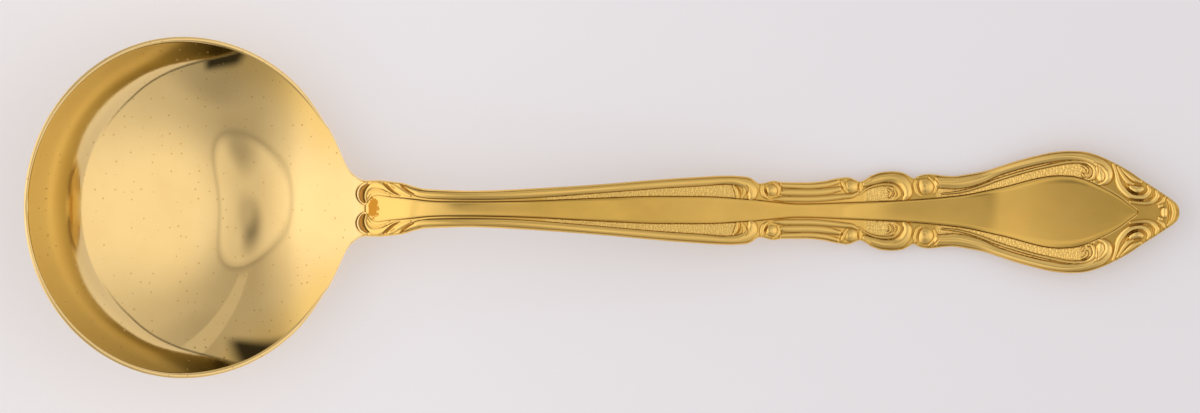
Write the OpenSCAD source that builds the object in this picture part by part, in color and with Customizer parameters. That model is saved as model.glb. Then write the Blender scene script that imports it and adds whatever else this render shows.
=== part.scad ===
// Gravy ladle: a round drawn bowl, a struck scroll-pattern handle and the braze that joins them.
// It lies as it does on a table: the bowl rests on its underside and the handle on its foot.
// The length runs along X, with the bowl at -X. Z is up from the table. All sizes are millimetres.

/* [Overall] */
// Length over all, from the front of the bowl to the tip of the handle
ladle_length = 178; // [160:1:200]

/* [Bowl] */
// Width of the bowl across its rim
bowl_width = 52.6; // [48:0.2:56]
// How far the bowl's rim reaches forward of the bowl's widest place, seen from above
bowl_front = 24.4; // [23:0.1:26]
// How far the bowl's rim reaches back from its widest place towards the handle
bowl_back = 25.2; // [24:0.1:27]
// Depth of the bowl below its rim
bowl_depth = 12; // [11:0.5:13]
// Slope of the rim towards the handle as the ladle lies on a table, in degrees
bowl_tilt = 20.5; // [18:0.5:22]
// Thickness of the bowl's wall
bowl_wall = 1.2; // [1:0.1:1.6]
// Thickness of the wall at the rim's polished edge
rim_edge = 0.9; // [0.7:0.1:1]
// Radius of the spot, worn flat, that the bowl rests on
rest_radius = 3; // [2:0.5:4]

/* [Handle] */
// Width of the heel, where the handle leaves the bowl
heel_width = 8.7; // [8:0.1:9.4]
// Width of the stem at its narrowest
stem_width = 5.7; // [5.2:0.1:6.2]
// Width of the shoulder at the end of the stem
shoulder_width = 10.8; // [10:0.1:11.6]
// Width of the reeded waist
waist_width = 8.8; // [8.2:0.1:9.4]
// Width across the pair of C-scrolls
scroll_width = 12.4; // [11.8:0.1:13]
// Width of the broad end that the fingers hold
grip_width = 19.1; // [18:0.1:20]
// Height of the handle's crest above the table
crest_height = 12; // [11:0.5:14]
// How far the tip turns up beyond the handle's foot
tip_rise = 2.5; // [1.5:0.5:3.5]
// Thickness of the stem
stem_thick = 2.8; // [2.4:0.1:3.2]
// Thickness of the broad end
grip_thick = 2; // [1.8:0.1:2.4]

/* [Relief] */
// Height of the plain centre panel above the ground
panel_rise = 0.3; // [0.2:0.05:0.4]
// Height of the rails and reeds above the ground
rail_rise = 0.5; // [0.3:0.05:0.6]
// Height of the beads above the ground
bead_rise = 0.75; // [0.5:0.05:0.9]
// Thickness of the layer of braze between the bowl and the handle
braze_layer = 0.15; // [0.1:0.05:0.3]

/* [Hidden] */

// The places along the ladle. Shares of the handle's length run from the heel, 0, to the tip, 1.
front_x = -ladle_length / 2;
tip_x = ladle_length / 2;
bowl_x = front_x + bowl_front;
heel_x = bowl_x + bowl_back + 1.1;
handle_length = tip_x - heel_x;
seam_x = heel_x - braze_layer;
crest_share = 0.17;
crest_x = heel_x + crest_share * handle_length;
foot_share = 0.66;
foot_x = heel_x + foot_share * handle_length;
turn_share = 0.763;
turn_x = heel_x + turn_share * handle_length;

// The bowl's section: the wall is a power curve, steeper at the front than at the back. The power turns
// from the one to the other over a stretch measured from the bowl's widest place.
front_power = 3;
back_power = 2.1;
turn_from = -8;
turn_to = 16;
rim_slope = tan(bowl_tilt);
rim_half_y = bowl_width / 2;
inner_half_y = rim_half_y - rim_edge;
neck_thick = 2.2;
neck_run = 9;
neck_fillet = 1.5;
// The neck bends over towards the handle, by so much slope for each millimetre of a run before the seam
neck_bend = 0.02;
neck_bend_run = 5;
surface_step = 0.05;

// Half widths of the handle's outline, each at its share of the handle's length. The neck, before the
// heel, flares out into the bowl.
outline = [
    [-0.031, 1.41 * heel_width], [-0.024, 1.23 * heel_width], [-0.017, 1.02 * heel_width],
    [-0.010, 0.79 * heel_width], [-0.005, 0.67 * heel_width], [0.000, 0.6 * heel_width],
    [0.007, 0.53 * heel_width], [0.015, heel_width / 2], [0.040, heel_width / 2 - 0.05],
    [0.058, 0.46 * heel_width], [0.088, stem_width / 2 + 0.2], [0.140, stem_width / 2],
    [0.190, stem_width / 2 + 0.2], [0.262, 0.5 * (stem_width + shoulder_width) / 2 - 0.5],
    [0.360, 0.43 * shoulder_width], [0.432, 0.485 * shoulder_width], [0.456, shoulder_width / 2],
    [0.476, 0.485 * shoulder_width], [0.490, waist_width / 2 + 0.15], [0.506, waist_width / 2 + 0.25],
    [0.546, waist_width / 2], [0.576, waist_width / 2 + 0.4], [0.598, waist_width / 2 + 0.85],
    [0.612, waist_width / 2 + 0.5], [0.634, 0.465 * scroll_width], [0.651, scroll_width / 2],
    [0.663, 0.485 * scroll_width], [0.677, 0.43 * scroll_width], [0.694, 0.467 * scroll_width],
    [0.723, 0.44 * scroll_width], [0.752, 0.48 * scroll_width], [0.782, 0.37 * grip_width],
    [0.820, 0.448 * grip_width], [0.868, grip_width / 2], [0.888, 0.487 * grip_width],
    [0.907, 0.44 * grip_width], [0.946, 0.298 * grip_width], [0.984, 0.135 * grip_width],
    [0.995, 0.075 * grip_width], [1.000, 0.03 * grip_width],
];
// Half widths of the plain centre panel, which ends in a point before the tip
panel = [
    [0.018, 0.12], [0.032, 1.35], [0.050, 1.5], [0.110, 1.05], [0.200, 1.2], [0.297, 1.7],
    [0.370, 2.05], [0.418, 2.05], [0.478, 1.65], [0.540, 1.0], [0.606, 1.25], [0.660, 1.55],
    [0.733, 2.4], [0.782, 3.6], [0.854, 5.5], [0.884, 5.2], [0.904, 4.4], [0.921, 2.6], [0.937, 0.9],
    [0.946, 0.12],
];
// Half distances between the inner edges of the two rails
rail_inner = [
    [0.030, 1.9], [0.110, 1.5], [0.200, 1.55], [0.297, 2.3], [0.370, 3.3], [0.442, 3.8], [0.462, 3.3],
    [0.480, 2.2], [0.600, 2.2], [0.622, 2.9], [0.642, 3.8], [0.656, 3.8], [0.668, 2.8], [0.680, 2.0],
    [0.702, 3.0], [0.733, 3.4], [0.782, 5.6], [0.854, 7.8], [0.884, 7.7], [0.904, 5.6], [0.920, 3.6],
    [0.946, 2.6], [0.984, 0.3],
];
reeds_from = 0.516;
reeds_to = 0.588;
reed_count = 3;
// Beads: share of the handle's length, distance from the centre line, radius
beads = [[0.503, 3.15, 1.05], [0.600, 3.75, 1.15], [0.692, 3.8, 1.4], [0.980, 0.3, 0.8]];

// How finely the skins are drawn
rim_points = 54;
seam_points = 8;
wall_rings = 16;
panel_columns = 4;
side_columns = 9;
under_columns = 6;

function clamp(v, low = 0, high = 1) = min(max(v, low), high);
function ease(v) = let (t = clamp(v)) t * t * (3 - 2 * t);
function mix(a, b, t) = a + (b - a) * t;
// The larger of two lengths, with the corner between them rounded over a distance
function smooth_max(a, b, round) = let (h = max(round - abs(a - b), 0)) max(a, b) + h * h / (4 * round);

// A smooth curve through stations [place, value] that never overshoots them
function secant(list, i) = (list[i + 1][1] - list[i][1]) / (list[i + 1][0] - list[i][0]);
function slope_at(list, i) =
    i == 0 ? secant(list, 0)
    : i == len(list) - 1 ? secant(list, i - 1)
    : let (a = secant(list, i - 1), b = secant(list, i)) a * b <= 0 ? 0 : 2 * a * b / (a + b);
function interval(list, at, i = 0) =
    i >= len(list) - 2 || at < list[i + 1][0] ? i : interval(list, at, i + 1);
function hermite(a, slope_a, b, slope_b, t) =
    a * (2 * t * t * t - 3 * t * t + 1) + slope_a * (t * t * t - 2 * t * t + t)
    + b * (3 * t * t - 2 * t * t * t) + slope_b * (t * t * t - t * t);
function curve(list, at) =
    let (i = interval(list, at), span = list[i + 1][0] - list[i][0])
    hermite(list[i][1], slope_at(list, i) * span, list[i + 1][1], slope_at(list, i + 1) * span,
            clamp((at - list[i][0]) / span));

function share(x) = (x - heel_x) / handle_length;

// Inside of the bowl, measured from the height of its rim above the bowl's centre
function wall_power(x) =
    mix(front_power, back_power, ease((x - bowl_x - turn_from) / (turn_to - turn_from)));
function rim_half_x(x) = x < bowl_x ? bowl_front : bowl_back;
function bowl_reach(x, y) = norm([(x - bowl_x) / (rim_half_x(x) - rim_edge), y / inner_half_y]);
function neck_fall(x) = neck_bend * pow(max(x - seam_x + neck_bend_run, 0), 2) / 2;
function bowl_inside(x, y) =
    -rim_slope * (x - bowl_x) - bowl_depth * (1 - pow(bowl_reach(x, y), wall_power(x))) - neck_fall(x);
function steepness(x, y) =
    let (here = bowl_inside(x, y))
    norm([1, (bowl_inside(x + surface_step, y) - here) / surface_step,
          (bowl_inside(x, y + surface_step) - here) / surface_step]);
function neck_share(x) = ease((x - heel_x + neck_run) / neck_run);
function wall_at(x, y) =
    mix(mix(bowl_wall, rim_edge, ease((bowl_reach(x, y) - 0.8) / 0.2)), neck_thick, neck_share(x));
function bowl_outside(x, y) = bowl_inside(x, y) - wall_at(x, y) * steepness(x, y);

// The rim is raised until the worn spot under the bowl lies on the table
lowest = min([for (x = [bowl_x : 0.5 : heel_x - neck_run]) bowl_outside(x, 0)]);
rest_x = [for (x = [bowl_x : 0.5 : heel_x - neck_run]) if (bowl_outside(x, 0) == lowest) x][0];
spot_ends = [for (side = [-1, 1]) bowl_outside(rest_x + side * rest_radius, 0)];
worn_depth = (spot_ends[0] + spot_ends[1]) / 2 - lowest;
rim_height = -lowest - worn_depth;

// Height of the handle's ground along its centre line: up from the heel to the crest, down to the
// foot, flat along it, then up to the tip. The fall is straight between a rounding at the crest and one
// at the foot, each a share of it. The end turns up most at its start and levels out towards the tip.
crest_round = 0.35;
foot_round = 0.15;
tip_power = 0.6;
foot_height = grip_thick;
heel_height = rim_height + bowl_inside(heel_x, 0);
heel_pitch = (bowl_inside(heel_x, 0) - bowl_inside(heel_x - surface_step, 0)) / surface_step;
rise_power = heel_pitch * (crest_x - heel_x) / (crest_height - heel_height);
function fall(t) =
    let (pace = 1 / (1 - (crest_round + foot_round) / 2))
    t < crest_round ? pace * t * t / (2 * crest_round)
    : t < 1 - foot_round ? pace * (t - crest_round / 2)
    : 1 - pace * pow(1 - t, 2) / (2 * foot_round);
function turn_up(t) = ease(pow(t, tip_power));
function handle_line(x) =
    x < crest_x ? crest_height - (crest_height - heel_height)
        * pow((crest_x - x) / (crest_x - heel_x), rise_power)
    : x < foot_x ? mix(crest_height, foot_height, fall((x - crest_x) / (foot_x - crest_x)))
    : foot_height + tip_rise * turn_up(max(x - turn_x, 0) / (tip_x - turn_x));
function handle_pitch(x) = (handle_line(x + surface_step) - handle_line(x)) / surface_step;
// Thickness of the handle at its stations: heel, crest, shoulder, both ends of the foot, and tip
thickness = [
    [0, neck_thick], [crest_share, stem_thick], [0.45, 0.9 * stem_thick], [foot_share, grip_thick],
    [turn_share, grip_thick], [1, 0.85 * grip_thick],
];
function handle_thick(x) = curve(thickness, share(x));

// The struck relief above the ground, at a distance across from the centre line
function dome(far, radius, rise) = far < radius ? rise * sqrt(1 - pow(far / radius, 2)) : 0;
function panel_relief(at, across) =
    let (half = curve(panel, at))
    at < panel[0][0] || at > panel[len(panel) - 1][0] || across > half ? 0
    : panel_rise * (1.3 - 0.3 * pow(across / half, 2));
function rail_relief(at, across, half) =
    let (inner = curve(rail_inner, at), middle = (inner + half) / 2)
    at > reeds_from && at < reeds_to ? 0 : dome(abs(across - middle), (half - inner) / 2, rail_rise);
function reed_relief(at, across, half) =
    let (inner = curve(panel, at) + 0.3, pitch = (half - inner) / reed_count)
    at < reeds_from || at > reeds_to || across < inner ? 0
    : dome(abs((across - inner) % pitch - pitch / 2), pitch / 2, rail_rise);
function bead_relief(x, across) =
    max([for (bead = beads)
        dome(norm([x - heel_x - bead[0] * handle_length, across - bead[1]]), bead[2], bead_rise)]);
function relief(x, across, half) =
    let (at = share(x))
    max(panel_relief(at, across), rail_relief(at, across, half), reed_relief(at, across, half),
        bead_relief(x, across)) * ease((x - heel_x) / 2);

// Half width of the whole ladle at a place along it, with the bowl blended into the heel
function rim_y(x) = rim_half_y * sqrt(max(1 - pow((x - bowl_x) / rim_half_x(x), 2), 0));
function half_width(x) =
    x < bowl_x ? rim_y(x) : smooth_max(rim_y(x), curve(outline, share(x)), neck_fillet);

// Upper and lower skin of the handle. The bowl's curve across the heel fades out along the heel.
edge_roll = 0.35;
under_roll = 0.35;
heel_run = 5;
function heel_fade(x) = 1 - ease((x - heel_x) / heel_run);
function heel_curve(y) = bowl_inside(heel_x, y) - bowl_inside(heel_x, 0);
function handle_top(x, y) =
    let (half = half_width(x), fade = heel_fade(x), edge = edge_roll * pow(abs(y) / half, 6))
    handle_line(x) + heel_curve(y) * fade + (relief(x, abs(y), half) - edge) * (1 - fade);
function handle_under(x, y) =
    let (half = half_width(x), fade = heel_fade(x), roll = under_roll * pow(y / half, 2) * (1 - fade),
         lean = mix(norm([1, handle_pitch(x)]), steepness(heel_x, y), fade))
    handle_line(x) + heel_curve(y) * fade - handle_thick(x) * lean * (1 - roll);

// One cross section of the handle, as a ring of points: over the top from +Y to -Y, then back below
function columns(x) =
    let (half = half_width(x), inner = clamp(curve(panel, share(x)), 0.12, half - 0.3), lip = 0.15)
    concat([for (k = [0 : panel_columns]) inner * k / panel_columns],
           [for (k = [0 : side_columns]) mix(inner + lip, half, k / side_columns)]);
function handle_ring(x) =
    let (c = columns(x), last = len(c) - 1, half = half_width(x))
    concat([for (k = [last : -1 : 0]) [x, c[k], handle_top(x, c[k])]],
           [for (k = [1 : last]) [x, -c[k], handle_top(x, -c[k])]],
           [for (k = [0 : under_columns])
               let (y = half * (2 * k / under_columns - 1)) [x, y, handle_under(x, y)]]);

// Places of the cross sections: close together where the ornament is fine
row_runs = [
    [0, 0.09, 0.010], [0.09, 0.43, 0.020], [0.43, 0.72, 0.0066], [0.72, 0.9, 0.011], [0.9, 1, 0.007],
];
row_shares = concat([for (run = row_runs) for (at = [run[0] : run[2] : run[1] - run[2] / 2]) at], [1]);

// A closed skin over rings of equal count, with a flat cap at each end
module skin(rings) {
    count = len(rings[0]);
    last = len(rings) - 1;
    function id(i, j) = i * count + j % count;
    sides = [for (i = [0 : last - 1]) for (j = [0 : count - 1])
        each [[id(i, j), id(i, j + 1), id(i + 1, j)], [id(i, j + 1), id(i + 1, j + 1), id(i + 1, j)]]];
    caps = [[for (j = [count - 1 : -1 : 0]) j], [for (j = [0 : count - 1]) id(last, j)]];
    polyhedron([for (ring = rings) each ring], concat(sides, caps));
}

// Points round the bowl: along the rim from the heel's +Y corner to its -Y corner, then across the seam
function rim_point(k) =
    let (turn = 360 * k / (2 * rim_points), x = turn < 90 || turn > 270
            ? mix(bowl_x, seam_x, cos(turn)) : bowl_x + bowl_front * cos(turn))
    [x, half_width(x) * (turn <= 180 ? 1 : -1)];
function seam_point(k) = [seam_x, half_width(seam_x) * (2 * k / seam_points - 1)];
around = concat([for (k = [0 : 2 * rim_points]) rim_point(k)],
                [for (k = [1 : seam_points - 1]) seam_point(k)]);
centre = [rest_x, 0];
// The inner skin stops short of the outline by the rim's edge, but meets the seam at full width
function inset(p) =
    let (to_centre = [bowl_x, 0] - p)
    p + to_centre / norm(to_centre) * rim_edge * (1 - ease((p[0] - seam_x + neck_run) / neck_run));
function rest_point(p) = centre + rest_radius * (p - centre) / norm(p - centre);
function ring_share(k) = pow(k / wall_rings, 0.8);
function inner_point(p, k) =
    let (q = mix(centre, inset(p), ring_share(k))) [q[0], q[1], rim_height + bowl_inside(q[0], q[1])];
function outer_point(p, k) =
    let (q = mix(rest_point(p), p, ring_share(k)))
    [q[0], q[1], k == 0 ? 0 : max(0, rim_height + bowl_outside(q[0], q[1]))];

module bowl() {
    count = len(around);
    inner = [for (k = [1 : wall_rings]) each [for (p = around) inner_point(p, k)]];
    outer = [for (k = [0 : wall_rings]) each [for (p = around) outer_point(p, k)]];
    base = len(inner);
    pole = base + len(outer);
    function id(skin_start, k, j) = skin_start + k * count + j % count;
    inner_faces = [for (k = [0 : wall_rings - 2]) for (j = [0 : count - 1])
        each [[id(0, k, j), id(0, k, j + 1), id(0, k + 1, j)],
              [id(0, k, j + 1), id(0, k + 1, j + 1), id(0, k + 1, j)]]];
    outer_faces = [for (k = [0 : wall_rings - 1]) for (j = [0 : count - 1])
        each [[id(base, k, j), id(base, k + 1, j), id(base, k, j + 1)],
              [id(base, k, j + 1), id(base, k + 1, j), id(base, k + 1, j + 1)]]];
    edge_faces = [for (j = [0 : count - 1])
        each [[id(0, wall_rings - 1, j), id(0, wall_rings - 1, j + 1), id(base, wall_rings, j)],
              [id(0, wall_rings - 1, j + 1), id(base, wall_rings, j + 1), id(base, wall_rings, j)]]];
    middle_faces = [for (j = [0 : count - 1]) [pole, id(0, 0, j + 1), id(0, 0, j)]];
    rest_face = [for (j = [0 : count - 1]) id(base, 0, j)];
    color("gold")
        polyhedron(concat(inner, outer, [inner_point(centre, 0)]),
                   concat(inner_faces, outer_faces, edge_faces, middle_faces, [rest_face]));
}

module braze_seam() {
    color("darkgoldenrod")
        translate([seam_x, 0, 0]) rotate([90, 0, 90])
            linear_extrude(braze_layer)
                polygon([for (p = handle_ring(heel_x - braze_layer / 2)) [p[1], p[2]]]);
}

module handle() {
    color("gold") skin([for (at = row_shares) handle_ring(heel_x + at * handle_length)]);
}

bowl();
braze_seam();
handle();
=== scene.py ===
"""Gravy ladle: a polished gold-plated bowl, a struck scroll handle and the braze that joins them."""

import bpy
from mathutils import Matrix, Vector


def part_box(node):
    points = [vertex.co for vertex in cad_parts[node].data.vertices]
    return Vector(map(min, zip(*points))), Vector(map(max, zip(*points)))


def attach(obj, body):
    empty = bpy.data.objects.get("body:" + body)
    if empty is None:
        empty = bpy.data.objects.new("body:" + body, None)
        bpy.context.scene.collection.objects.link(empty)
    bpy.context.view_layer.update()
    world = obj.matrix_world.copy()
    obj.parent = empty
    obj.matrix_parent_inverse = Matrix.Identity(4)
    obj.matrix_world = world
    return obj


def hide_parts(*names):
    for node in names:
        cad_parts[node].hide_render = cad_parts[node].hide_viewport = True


bl_info = {
    "name": "Gravy Ladle",
    "version": (1, 0, 0),
    "blender": (4, 5, 0),
    "location": "View3D > Sidebar > Ladle",
    "description": "Models a gold-plated gravy ladle with a struck scroll handle on its fixed frame",
    "category": "Add Mesh",
}

import math

import bpy
import numpy as np

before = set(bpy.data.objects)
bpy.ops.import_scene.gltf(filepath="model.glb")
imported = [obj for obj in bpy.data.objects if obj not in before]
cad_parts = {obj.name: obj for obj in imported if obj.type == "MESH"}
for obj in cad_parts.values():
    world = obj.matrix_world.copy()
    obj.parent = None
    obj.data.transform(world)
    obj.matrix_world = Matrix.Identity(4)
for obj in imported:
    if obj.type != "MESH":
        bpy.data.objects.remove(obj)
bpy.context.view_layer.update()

MM = 0.001

# Places along the ladle, from the frame: X runs from the bowl to the tip
BOWL_LOW, BOWL_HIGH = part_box("bowl")
HANDLE_LOW, HANDLE_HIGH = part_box("handle")
FRONT_X = BOWL_LOW.x
SEAM_X = BOWL_HIGH.x
HEEL_X = HANDLE_LOW.x
TIP_X = HANDLE_HIGH.x
HANDLE_LENGTH = TIP_X - HEEL_X
CREST_SHARE = 0.17
CREST_X = HEEL_X + CREST_SHARE * HANDLE_LENGTH
FOOT_SHARE = 0.66
FOOT_X = HEEL_X + FOOT_SHARE * HANDLE_LENGTH
TURN_SHARE = 0.763
TURN_X = HEEL_X + TURN_SHARE * HANDLE_LENGTH

# The outline and the ornament are drawn on a sheet, in units that run along the ladle from the front of
# the bowl to the tip. A place is (along, across), with across measured from the centre line.
SHEET_FRONT = 25.0
SHEET_TIP = 1180.0
SHEET_UNIT = (TIP_X - FRONT_X) / (SHEET_TIP - SHEET_FRONT)
# The picture on the sheet: its width and its middle
PICTURE_WIDTH = 1200.0
PICTURE_MIDDLE = (600.0, 3.1)

# Half widths of the outline: the neck, which flares into the bowl, then the handle to its tip
OUTLINE = [
    (328.4, 79.6), (334.2, 69.4), (339.9, 57.6), (345.7, 44.6), (349.9, 37.8), (354, 33.9), (360, 29.8),
    (366, 28.4), (378, 28.5), (390, 27.5), (402, 26), (414, 22.5), (426, 20), (450, 19), (470, 18.5),
    (490, 19), (530, 21), (570, 23.5), (610, 26.5), (650, 30), (690, 33), (730, 35), (746, 34),
    (752, 32), (756, 29), (759.5, 27.3), (764, 27.8), (770, 29.4), (775, 30), (781, 28.8), (790, 28.6),
    (806, 28.5), (824, 30), (836, 32.5), (848, 33.9), (855, 31.6), (860.5, 29.7), (866, 32), (872, 36),
    (884, 39.5), (893, 40), (902, 39), (908, 36.4), (914, 33.2), (920, 36), (929, 37.5), (944, 36),
    (953, 35.5), (968, 37.5), (984, 40.5), (1000, 45.5), (1016, 50.8), (1040, 57.2), (1050, 59.4),
    (1060, 60.8), (1070, 61.4), (1080, 61.1), (1088, 60), (1096, 57.8), (1112, 51), (1128, 42.5),
    (1144, 31.8), (1160, 21.6), (1168, 16.2), (1174, 12), (1178, 8), (1180, 3.2),
]
# Half widths of the plain centre panel, from its heart-shaped start to its point
PANEL = [
    (364, 1.5), (366.5, 4.5), (369, 8.5), (373, 11.5), (378, 12.6), (384, 12.2), (392, 11.2),
    (402, 10.4), (415, 9.2), (430, 7.6), (445, 7), (470, 6.9), (520, 7.7), (600, 11.2), (660, 13.3),
    (700, 13.3), (750, 10.7), (800, 6.4), (855, 8.2), (900, 10.2), (960, 15.5), (1000, 23.4),
    (1060, 36), (1072, 35.4), (1085, 32.4), (1100, 26), (1110, 21), (1120, 15), (1130, 7.4), (1138, 1.5),
]
PANEL_START = 365.0
PANEL_POINT = 1138.0
PANEL_BEVEL = 1.5
# The panel's crown as a share of its rise, its share of the rise at its start, and where it has it all
PANEL_CROWN = 0.3
PANEL_LOW_START = 0.3
PANEL_GROWN = 410.0
# A painted highlight, in place of a raised bright line, runs along the panel's edge near its point:
# fading in from one place to the next, in a line with this offset and half width
EDGE_HIGHLIGHT_FADE = (1082.0, 1088.0)
EDGE_HIGHLIGHT_LINE = (1.0, 1.4)

# Ridges: rise in millimetres, then the places (along, across, half width) that the tool passes
HEEL_RIDGES = [
    (0.08, [(366.5, 26, 1), (359.8, 21, 1.6), (357.3, 15, 1.8), (358.8, 9.2, 1.6), (362.8, 5.2, 1.3),
            (366.4, 4.4, 0.9)]),
    (0.14, [(366, 7, 1.2), (364.8, 12.2, 1.5), (366.2, 17.6, 1.9), (370.4, 22, 2.6), (376.6, 23.6, 3.4),
            (382.8, 21.6, 3), (388, 18.2, 2), (393.5, 14.8, 1.3), (399, 13.2, 0.9)]),
    (0.07, [(368.3, 9.6, 1), (371.4, 13.3, 1.4), (376.8, 15.2, 1.5), (383, 14.2, 1.4), (389, 12.8, 1)]),
    (0.10, [(388.5, 24.4, 2), (395, 20.6, 3), (402, 16.8, 2.4), (410, 13, 1.4)]),
]
STEM_RIDGES = [
    (0.40, [(404, 21.5, 2.4), (412, 17.8, 3.6), (424, 15, 4.6), (450, 14, 4.7), (500, 14.4, 4.9),
            (540, 16.5, 4.9), (600, 21.1, 4.7), (660, 26, 4.6), (700, 28.5, 4.6), (722, 30, 4.3),
            (736, 29.6, 4.7), (746, 26.4, 5.2), (751.5, 21, 6), (752.5, 15.5, 4.8), (751, 12.2, 2.8)]),
    (0.32, [(733.4, 24.8, 1.2), (736.4, 19.6, 2.2), (737.6, 12.8, 1.4)]),
    (0.35, [(742, 25.6, 1.1), (745, 21.6, 1.8), (744.6, 17.4, 1.6), (741.8, 12.8, 1.2)]),
]
WAIST_RIDGES = [
    (0.35, [(762.4, 25.4, 1.6), (762.4, 19.6, 2.5), (764.4, 15, 2.2), (768, 12.2, 1.2)]),
    (0.32, [(771.8, 20.4, 5.7), (772.4, 20.4, 5.7)]),
    (0.40, [(773.6, 28.6, 1.3), (777.7, 24.6, 2), (779.4, 19.5, 1.8), (778.4, 15.4, 1.1)]),
    (0.23, [(782, 25.4, 2.8), (790, 25.2, 3), (810, 24.8, 3.1), (826, 26.4, 3), (838, 29.4, 2.4)]),
    (0.23, [(783, 18.4, 3.2), (790, 18.4, 3.5), (810, 18.3, 3.6), (826, 19.4, 3.4), (840, 22, 2.3)]),
    (0.23, [(774, 11.2, 1.2), (783, 11.6, 2.8), (790, 11.6, 2.9), (810, 11.6, 3), (826, 12.6, 2.9),
            (842, 14.2, 2.6), (852, 15.2, 2.2), (858, 18, 1.4)]),
    (0.34, [(851.3, 24.6, 6.4), (852, 24.6, 6.4)]),
    (0.39, [(842.4, 29.4, 1.2), (844.8, 24.4, 2), (847.6, 18.8, 1.3)]),
    (0.37, [(861.5, 30, 1.2), (862.2, 26, 1.7), (861, 20, 1.2)]),
]
SCROLL_RIDGES = [
    (0.42, [(865, 27, 3), (875, 31.4, 4.8), (885, 33.6, 5), (895, 33.2, 5.4), (903, 29.5, 5.6),
            (907.2, 23, 5.2), (907.8, 17, 4.6), (905, 12.6, 2.6)]),
    (0.34, [(859.5, 16.6, 0.9), (866, 21.6, 1.2), (874, 25, 1.3), (884, 26.8, 1.3), (892, 26.2, 1.6),
            (897, 23.4, 1.7), (899.6, 19, 1.6), (899.4, 15, 1.4), (896.8, 12.6, 1)]),
    (0.24, [(888.6, 21.8, 1), (891.2, 18.6, 1.5), (889.6, 14.2, 1.3)]),
    (0.35, [(916.2, 30.6, 1.2), (915.2, 25.4, 2), (917, 19.6, 1.8), (920.4, 15.6, 1.1)]),
    (0.40, [(925.6, 24.8, 8.2), (926, 24.8, 8.2)]),
    (0.37, [(929.8, 34, 1.1), (934.4, 29.8, 2), (936.6, 25, 1.9), (934.8, 19, 1.2)]),
]
GRIP_RIDGES = [
    (0.42, [(939.4, 29.2, 6.2), (946, 29.2, 6.6), (960, 29.4, 7), (980, 33.6, 6), (1000, 41.2, 4.8),
            (1030, 50, 4.8), (1060, 56, 5), (1080, 55.8, 4.8), (1094, 52, 5), (1103, 46.4, 5.6),
            (1108, 40.4, 5.2), (1108.8, 35, 4.4), (1106, 30.6, 3), (1101, 28, 1.6)]),
    (0.38, [(1099.4, 43.4, 5), (1101.4, 38, 5.6), (1101.6, 33.6, 4)]),
    (0.32, [(942, 17.5, 0.9), (960, 19.5, 1.3), (980, 25, 1.4), (1000, 32.5, 1.5), (1030, 41.5, 1.5),
            (1060, 48.4, 1.6), (1074, 50.4, 1.7), (1086, 50, 2.1), (1091.6, 47.4, 2.4),
            (1094.8, 43.6, 2.5), (1095.2, 39.4, 2.4), (1093, 34, 2), (1089, 32.6, 1.4)]),
    (0.30, [(1082, 46.8, 0.9), (1085.4, 45.2, 1.4), (1088, 42.4, 1.5), (1087.6, 39, 1)]),
    (0.27, [(1082.6, 38.6, 1.2), (1084.2, 35.6, 1.3)]),
]
TIP_RIDGES = [
    (0.42, [(1113.8, 48, 1.6), (1116.2, 40, 2.2), (1118.4, 31, 2.8), (1122, 24, 3.4), (1128, 18.4, 3.5),
            (1135.6, 15.2, 3.2), (1143, 15.2, 2.8), (1148, 18, 2.5), (1150, 22.4, 2.2),
            (1148.6, 26.4, 1.6)]),
    (0.37, [(1118.4, 45, 1.4), (1122.8, 37.4, 2), (1127.6, 31.4, 2.3), (1133, 28, 1.5)]),
    (0.37, [(1122, 43.6, 1.4), (1128.6, 37.8, 2.3), (1134.4, 33.6, 2.7), (1141, 30.6, 2)]),
    (0.37, [(1132, 24.6, 3), (1138, 22.6, 3.8), (1141.6, 23.4, 3)]),
    (0.39, [(1131, 10.6, 1.2), (1139, 9.5, 1.7), (1147, 9.1, 2), (1153.6, 11, 2.3), (1157.8, 16, 2.4),
            (1157, 21.6, 1.7)]),
    (0.39, [(1159, 8.4, 1.4), (1163.4, 11.2, 2), (1165.2, 15, 1.6)]),
    (0.42, [(1164.8, 0, 3.8), (1165.2, 2.4, 3.4)]),
    (0.32, [(1160.4, 6, 2.1), (1161.8, 6.8, 2.1)]),
    (0.14, [(1168.6, 13, 1.6), (1173, 8, 2.1), (1175, 0, 2.3)]),
]
RIDGES = HEEL_RIDGES + STEM_RIDGES + WAIST_RIDGES + SCROLL_RIDGES + GRIP_RIDGES + TIP_RIDGES
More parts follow.
